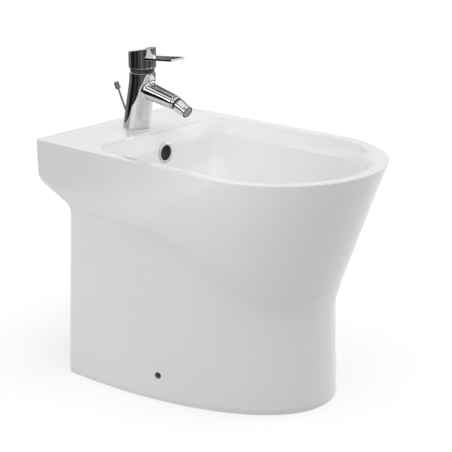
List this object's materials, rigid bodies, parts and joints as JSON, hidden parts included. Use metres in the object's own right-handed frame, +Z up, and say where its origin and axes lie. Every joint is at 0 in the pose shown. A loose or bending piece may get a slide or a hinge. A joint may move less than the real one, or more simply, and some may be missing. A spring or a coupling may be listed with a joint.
{
  "type": "floor-standing bidet",
  "caption": "Floor-standing bidet on a flared pedestal with a single-lever mixer, swivel nozzle, lift rod and pop-up waste.",
  "frame": {"origin": "centre of the part's box in plan, on the floor under it", "axes": "+X to the right as seen from the front, +Y to the wall, +Z up; the bowl's round end faces -Y"},
  "size_m": [0.355, 0.55, 0.5408],
  "materials": {
    "china": "glossy white glaze",
    "chrome": "polished",
    "brass": "machined",
    "steel": "satin",
    "rubber": "matte",
    "white_plastic": "matte",
    "grey_plastic": "matte",
    "ceramic_disc": "lapped",
    "index_plug": "gloss"
  },
  "bodies": {
    "pedestal": {"ceramic_body": "china", "overflow_ring": "chrome", "mixer_body": "chrome", "base_seal": "rubber", "trim_ring": "chrome", "cartridge_nut": "brass", "cartridge_body": "white_plastic", "cartridge_seals": "rubber", "ceramic_discs": "ceramic_disc", "swivel_ball": "chrome", "swivel_washer": "rubber", "fixing_stud": "steel", "horseshoe_washer": "rubber", "horseshoe_plate": "steel", "fixing_nut": "brass", "pivot_nut": "chrome", "pivot_seats": "white_plastic", "waste_flange": "chrome", "flange_gasket": "rubber", "waste_body": "chrome", "body_gasket": "rubber", "tailpiece": "chrome", "tail_nut": "chrome", "tail_seal": "rubber", "floor_bracket_left": "steel", "floor_bracket_right": "steel", "side_screws": "steel", "side_sleeves": "white_plastic"},
    "turret": {"cartridge_turret": "white_plastic", "stem_pin": "steel"},
    "handle": {"handle": "chrome", "handle_screw": "steel", "handle_plug": "index_plug", "cartridge_stem": "steel"},
    "swivel_seat": {"ball_seat": "white_plastic"},
    "nozzle": {"nozzle_body": "chrome", "aerator_housing": "chrome", "aerator_insert": "grey_plastic", "aerator_seal": "rubber"},
    "lift_rod": {"lift_rod": "chrome", "lift_knob": "chrome", "rod_clamp": "steel", "clamp_screw": "brass"},
    "pivot": {"pivot_rod": "steel"},
    "plug": {"plug_cap": "chrome", "plug_seal": "rubber", "plug_stem": "white_plastic"}
  },
  "joints": [
    {"name": "lever_turn", "type": "hinge", "parent": "pedestal", "child": "turret", "pos_m": [0, 0.1895, 0.48], "axis": [0, 0, 1], "range_deg": [-45, 45]},
    {"name": "lever_lift", "type": "hinge", "parent": "turret", "child": "handle", "pos_m": [0, 0.1895, 0.504], "axis": [-1, 0, 0], "range_deg": [0, 18]},
    {"name": "nozzle_pan", "type": "hinge", "parent": "pedestal", "child": "swivel_seat", "pos_m": [0, 0.1143, 0.45456], "axis": [0, -0.4321, 0.9018], "range_deg": [-12, 12]},
    {"name": "nozzle_tilt", "type": "hinge", "parent": "swivel_seat", "child": "nozzle", "pos_m": [0, 0.1143, 0.45456], "axis": [1, 0, 0], "range_deg": [-12, 8]},
    {"name": "rod_lift", "type": "slide", "parent": "pedestal", "child": "lift_rod", "axis": [0, 0.4274, 0.9041], "range_m": [0, 0.02]},
    {"name": "pivot_turn", "type": "hinge", "parent": "pedestal", "child": "pivot", "pos_m": [0, 0.048, 0.165], "axis": [1, 0, 0], "range_deg": [0, 17.11]},
    {"name": "plug_slide", "type": "slide", "parent": "pedestal", "child": "plug", "axis": [0, 0, 1], "range_m": [-0.00833, 0]}
  ],
  "couplings": [
    {"joint": "pivot_turn", "follows": "rod_lift", "rad_per_m": 14.886},
    {"joint": "plug_slide", "follows": "rod_lift", "ratio": -0.41522}
  ]
}
